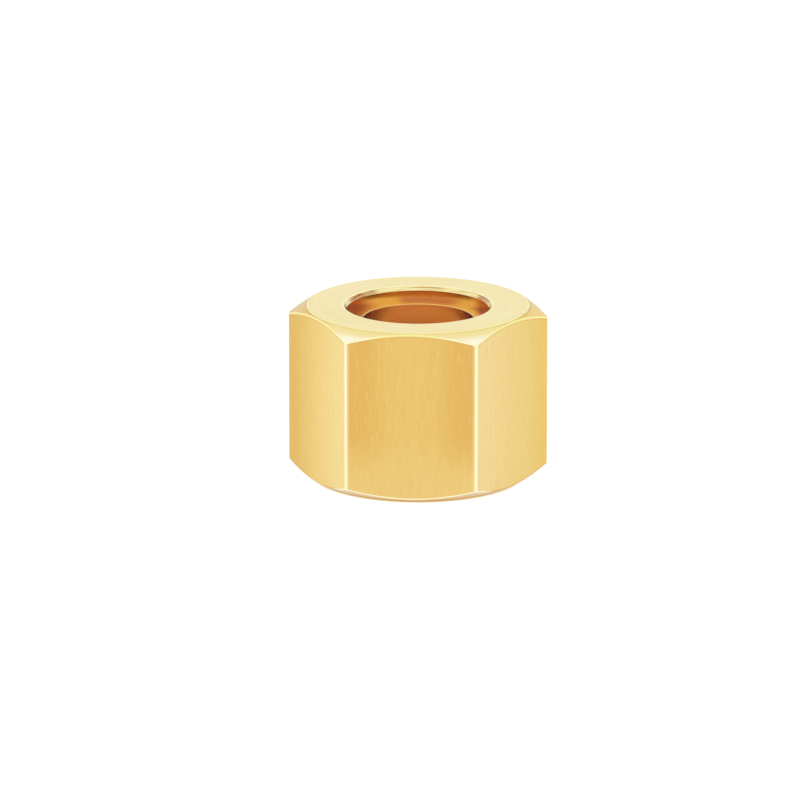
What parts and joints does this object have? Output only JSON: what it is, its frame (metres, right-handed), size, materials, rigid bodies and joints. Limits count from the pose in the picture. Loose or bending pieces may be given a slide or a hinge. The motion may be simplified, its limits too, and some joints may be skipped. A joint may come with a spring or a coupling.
{
  "type": "hex compression nut",
  "caption": "Tall brass hex compression nut with a counterbored smooth tube end and an internal thread at the other end.",
  "frame": {"origin": "centre of the thread end's face, on the axis of the nut", "axes": "+Z along the axis towards the counterbored tube end, two flats face +Y and -Y, two corners lie on X"},
  "size_m": [0.015, 0.013, 0.0101],
  "materials": {
    "brass": "bright machined brass, flats with fine drawn lines along the bar, turned faces smooth"
  },
  "bodies": {
    "root": {"hex_nut": "brass"}
  },
  "joints": []
}
